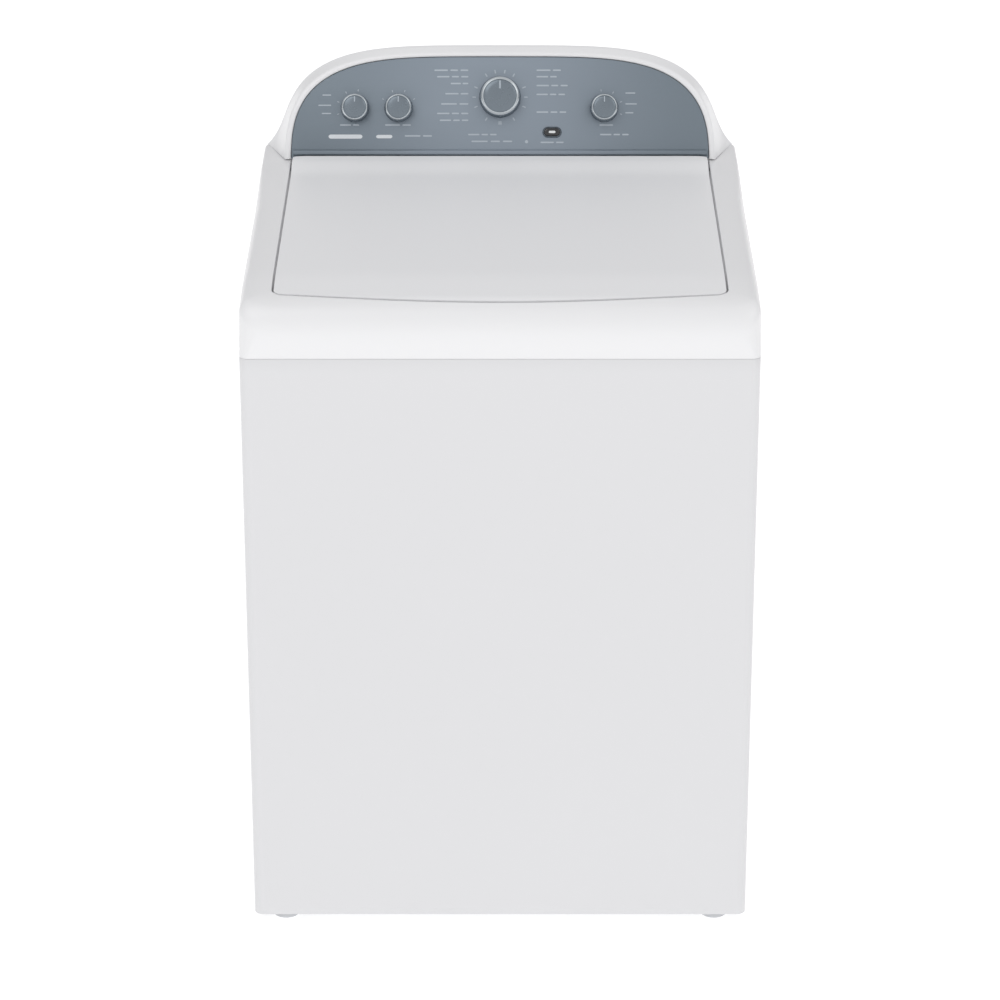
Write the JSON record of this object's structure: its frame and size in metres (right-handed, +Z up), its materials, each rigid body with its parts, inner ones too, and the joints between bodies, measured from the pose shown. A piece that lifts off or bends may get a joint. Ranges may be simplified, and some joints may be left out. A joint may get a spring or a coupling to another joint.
{
  "type": "top load washing machine",
  "caption": "Top load washing machine with a flush rear-hinged lid, an arched control console, and a spring-hung tub with basket, agitator and belt drive.",
  "frame": {"origin": "on the floor, under the centre of the overall box", "axes": "+Z up, the front faces -Y, +X to the right of someone who stands in front"},
  "size_m": [0.699, 0.686, 1.092],
  "materials": {
    "white_enamel": "baked white enamel on folded steel",
    "white_gloss_plastic": "glossy white moulding",
    "white_plastic": "satin white moulding",
    "panel_satin": "satin blue-grey control panel with pale printed bars and ticks",
    "knob_plastic": "grey knob with a bright metallic rim",
    "black_gloss": "black push button",
    "zinc_steel": "galvanised sheet and plated steel",
    "spring_steel": "oiled spring steel",
    "stainless": "stainless steel",
    "tub_plastic": "filled polypropylene, off-white",
    "grey_plastic": "grey engineering plastic",
    "cast_aluminium": "as-cast aluminium",
    "motor_iron": "painted motor shell with its iron core",
    "black_rubber": "black rubber",
    "board_green": "circuit board laminate"
  },
  "bodies": {
    "cabinet": {"cabinet_wrap": "white_enamel", "rear_panel": "zinc_steel", "base_frame": "zinc_steel", "top_brace_left": "zinc_steel", "top_brace_right": "zinc_steel", "top_deck": "white_gloss_plastic", "hinge_bush_left": "grey_plastic", "hinge_bush_right": "grey_plastic", "lid_lock": "grey_plastic", "console_housing": "white_gloss_plastic", "console_rear_cover": "zinc_steel", "console_panel": "panel_satin", "control_board": "board_green", "water_inlet_valve": "grey_plastic", "inlet_nozzle": "grey_plastic", "pressure_sensor": "grey_plastic", "drain_outlet": "grey_plastic", "power_cord_gland": "black_rubber", "drain_hose": "grey_plastic", "suspension_rod_front_left": "zinc_steel", "suspension_rod_front_right": "zinc_steel", "suspension_rod_rear_left": "zinc_steel", "suspension_rod_rear_right": "zinc_steel", "suspension_spring_front_left": "spring_steel", "suspension_spring_front_right": "spring_steel", "suspension_spring_rear_left": "spring_steel", "suspension_spring_rear_right": "spring_steel"},
    "lid": {"lid_outer": "white_enamel", "lid_inner": "white_plastic", "lid_strike": "grey_plastic", "hinge_pin_left": "zinc_steel", "hinge_pin_right": "zinc_steel"},
    "temperature_knob": {"temperature_knob": "knob_plastic"},
    "water_level_knob": {"water_level_knob": "knob_plastic"},
    "rinse_knob": {"rinse_knob": "knob_plastic"},
    "cycle_knob": {"cycle_knob": "knob_plastic"},
    "start_button": {"start_button": "black_gloss"},
    "tub": {"outer_tub": "tub_plastic", "tub_ring": "white_plastic", "upper_bearing": "stainless", "lower_bearing": "stainless", "tub_seal": "black_rubber", "gearcase": "cast_aluminium", "motor": "motor_iron", "capacitor": "cast_aluminium", "drain_pump": "grey_plastic", "drive_belt": "black_rubber"},
    "basket": {"wash_basket": "stainless", "balance_ring": "white_plastic", "spin_tube": "stainless"},
    "agitator": {"agitator": "white_plastic", "agitator_cap": "grey_plastic", "drive_shaft": "stainless"},
    "drive_pulley": {"drive_pulley": "cast_aluminium"},
    "motor_pulley": {"motor_pulley": "zinc_steel"},
    "pump_impeller": {"pump_impeller": "grey_plastic"},
    "foot_front_left": {"foot_front_left": "grey_plastic"},
    "foot_front_right": {"foot_front_right": "grey_plastic"},
    "foot_rear_left": {"foot_rear_left": "grey_plastic"},
    "foot_rear_right": {"foot_rear_right": "grey_plastic"}
  },
  "joints": [
    {"name": "lid_hinge", "type": "hinge", "parent": "cabinet", "child": "lid", "pos_m": [0, 0.224, 0.93], "axis": [-1, 0, 0], "range_deg": [0, 90]},
    {"name": "temperature_knob_turn", "type": "hinge", "parent": "cabinet", "child": "temperature_knob", "pos_m": [-0.213, 0.28101, 1.01036], "axis": [0, -0.9171, 0.3987], "range_deg": [-135, 135]},
    {"name": "water_level_knob_turn", "type": "hinge", "parent": "cabinet", "child": "water_level_knob", "pos_m": [-0.149, 0.28101, 1.01036], "axis": [0, -0.9171, 0.3987], "range_deg": [-135, 135]},
    {"name": "rinse_knob_turn", "type": "hinge", "parent": "cabinet", "child": "rinse_knob", "pos_m": [0.153, 0.28101, 1.01036], "axis": [0, -0.9171, 0.3987], "range_deg": [-135, 135]},
    {"name": "cycle_knob_turn", "type": "hinge", "parent": "cabinet", "child": "cycle_knob", "pos_m": [0, 0.28739, 1.02503], "axis": [0, -0.9171, 0.3987], "continuous": true},
    {"name": "start_button_press", "type": "slide", "parent": "cabinet", "child": "start_button", "axis": [0, 0.9171, -0.3987], "range_m": [0, 0.002], "stiffness_N_per_m": 400},
    {"name": "tub_suspension", "type": "slide", "parent": "cabinet", "child": "tub", "axis": [0, 0, 1], "range_m": [-0.02, 0.008], "stiffness_N_per_m": 12000, "springref_m": 0.027, "deforming": ["suspension_spring_front_left", "suspension_spring_front_right", "suspension_spring_rear_left", "suspension_spring_rear_right", "drain_hose"]},
    {"name": "basket_spin", "type": "hinge", "parent": "tub", "child": "basket", "pos_m": [0, -0.008, 0.24], "axis": [0, 0, 1], "continuous": true},
    {"name": "drive_pulley_spin", "type": "hinge", "parent": "tub", "child": "drive_pulley", "pos_m": [0, -0.008, 0.086], "axis": [0, 0, 1], "continuous": true},
    {"name": "motor_spin", "type": "hinge", "parent": "tub", "child": "motor_pulley", "pos_m": [0.175, -0.008, 0.086], "axis": [0, 0, 1], "continuous": true},
    {"name": "agitator_spin", "type": "hinge", "parent": "tub", "child": "agitator", "pos_m": [0, -0.008, 0.3], "axis": [0, 0, 1], "continuous": true},
    {"name": "pump_spin", "type": "hinge", "parent": "tub", "child": "pump_impeller", "pos_m": [-0.15, -0.14, 0.125], "axis": [0, 0, 1], "continuous": true},
    {"name": "foot_front_left_screw", "type": "slide", "parent": "cabinet", "child": "foot_front_left", "axis": [0, 0, -1], "range_m": [0, 0.015]},
    {"name": "foot_front_right_screw", "type": "slide", "parent": "cabinet", "child": "foot_front_right", "axis": [0, 0, -1], "range_m": [0, 0.015]},
    {"name": "foot_rear_left_screw", "type": "slide", "parent": "cabinet", "child": "foot_rear_left", "axis": [0, 0, -1], "range_m": [0, 0.015]},
    {"name": "foot_rear_right_screw", "type": "slide", "parent": "cabinet", "child": "foot_rear_right", "axis": [0, 0, -1], "range_m": [0, 0.015]}
  ],
  "couplings": [
    {"joint": "motor_spin", "follows": "drive_pulley_spin", "ratio": 3.4},
    {"joint": "agitator_spin", "follows": "drive_pulley_spin", "ratio": 0.3}
  ]
}
